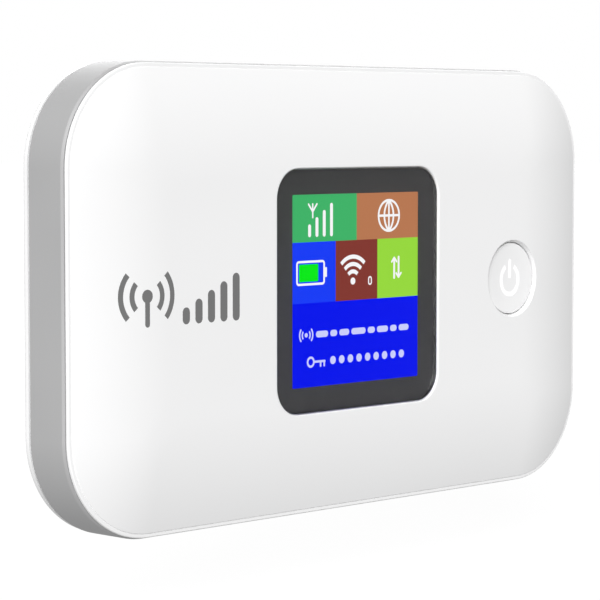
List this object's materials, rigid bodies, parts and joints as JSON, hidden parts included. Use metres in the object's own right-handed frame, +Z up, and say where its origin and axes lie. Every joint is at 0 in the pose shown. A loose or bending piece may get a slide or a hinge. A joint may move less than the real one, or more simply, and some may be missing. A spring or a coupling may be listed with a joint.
{
  "type": "mobile hotspot",
  "caption": "Pocket mobile hotspot with pillow-shaped white shells, a grey side band, a square colour display window and a round recessed power button.",
  "frame": {"origin": "middle of the bottom of the bounding box, on the long edge the hotspot stands on", "axes": "+X to the right seen from the front, +Y from the display front to the rear cover, +Z up"},
  "size_m": [0.1, 0.0128, 0.06],
  "materials": {
    "white_shell": "white, fine satin",
    "grey_band": "satin silver-grey",
    "window": "polished, dark printed border",
    "gasket": "matt adhesive foam",
    "display_glass": "colour display panel",
    "backlight": "white moulded frame",
    "foam": "open foam",
    "polyimide": "flexible circuit film",
    "circuit_board": "green solder mask",
    "tin_plate": "tin-plated sheet",
    "steel": "stamped or machined",
    "black_plastic": "moulded",
    "gold_plate": "gold flash",
    "tray_plastic": "fine spark texture",
    "battery_wrap": "matt dark wrap over an aluminium can",
    "sim_plastic": "smooth card"
  },
  "bodies": {
    "housing": {"front_shell": "white_shell", "window_lens": "window", "lens_gasket": "gasket", "display_glass": "display_glass", "display_backlight": "backlight", "display_foam_pad": "foam", "display_flex": "polyimide", "display_connector": "black_plastic", "power_switch_body": "steel", "side_band": "grey_band", "main_board": "circuit_board", "modem_shield": "tin_plate", "radio_shield": "tin_plate", "usb_socket": "steel", "usb_tongue": "black_plastic", "sim_socket": "steel", "reset_switch_body": "steel", "battery_contact_block": "black_plastic", "battery_contact_1": "gold_plate", "battery_contact_2": "gold_plate", "battery_contact_3": "gold_plate", "battery_contact_4": "gold_plate", "antenna_main": "gold_plate", "antenna_diversity": "gold_plate", "antenna_wireless": "gold_plate", "battery_tray": "tray_plastic", "tray_screw_1": "steel", "tray_screw_2": "steel", "tray_screw_3": "steel", "tray_screw_4": "steel", "tray_screw_5": "steel", "tray_screw_6": "steel"},
    "power_key": {"power_button": "white_shell", "power_switch_plunger": "black_plastic"},
    "reset_key": {"reset_plunger": "black_plastic"},
    "sim": {"sim_card": "sim_plastic"},
    "battery_pack": {"battery": "battery_wrap"},
    "cover": {"rear_cover": "white_shell"}
  },
  "joints": [
    {"name": "power_press", "type": "slide", "parent": "housing", "child": "power_key", "axis": [0, 1, 0], "range_m": [0, 0.00035], "stiffness_N_per_m": 2000, "springref_m": -0.0004},
    {"name": "reset_press", "type": "slide", "parent": "housing", "child": "reset_key", "axis": [0, -1, 0], "range_m": [0, 0.0003], "stiffness_N_per_m": 1500, "springref_m": -0.0004},
    {"name": "cover_lift", "type": "slide", "parent": "housing", "child": "cover", "axis": [0, 1, 0], "range_m": [0, 0.03]},
    {"name": "battery_lift", "type": "slide", "parent": "housing", "child": "battery_pack", "axis": [0, 1, 0], "range_m": [0, 0.015]},
    {"name": "sim_slide", "type": "slide", "parent": "housing", "child": "sim", "axis": [0, 0, 1], "range_m": [0, 0.014]}
  ],
  "couplings": [
    {"joint": "battery_lift", "follows": "cover_lift", "ratio": 0.5}
  ]
}
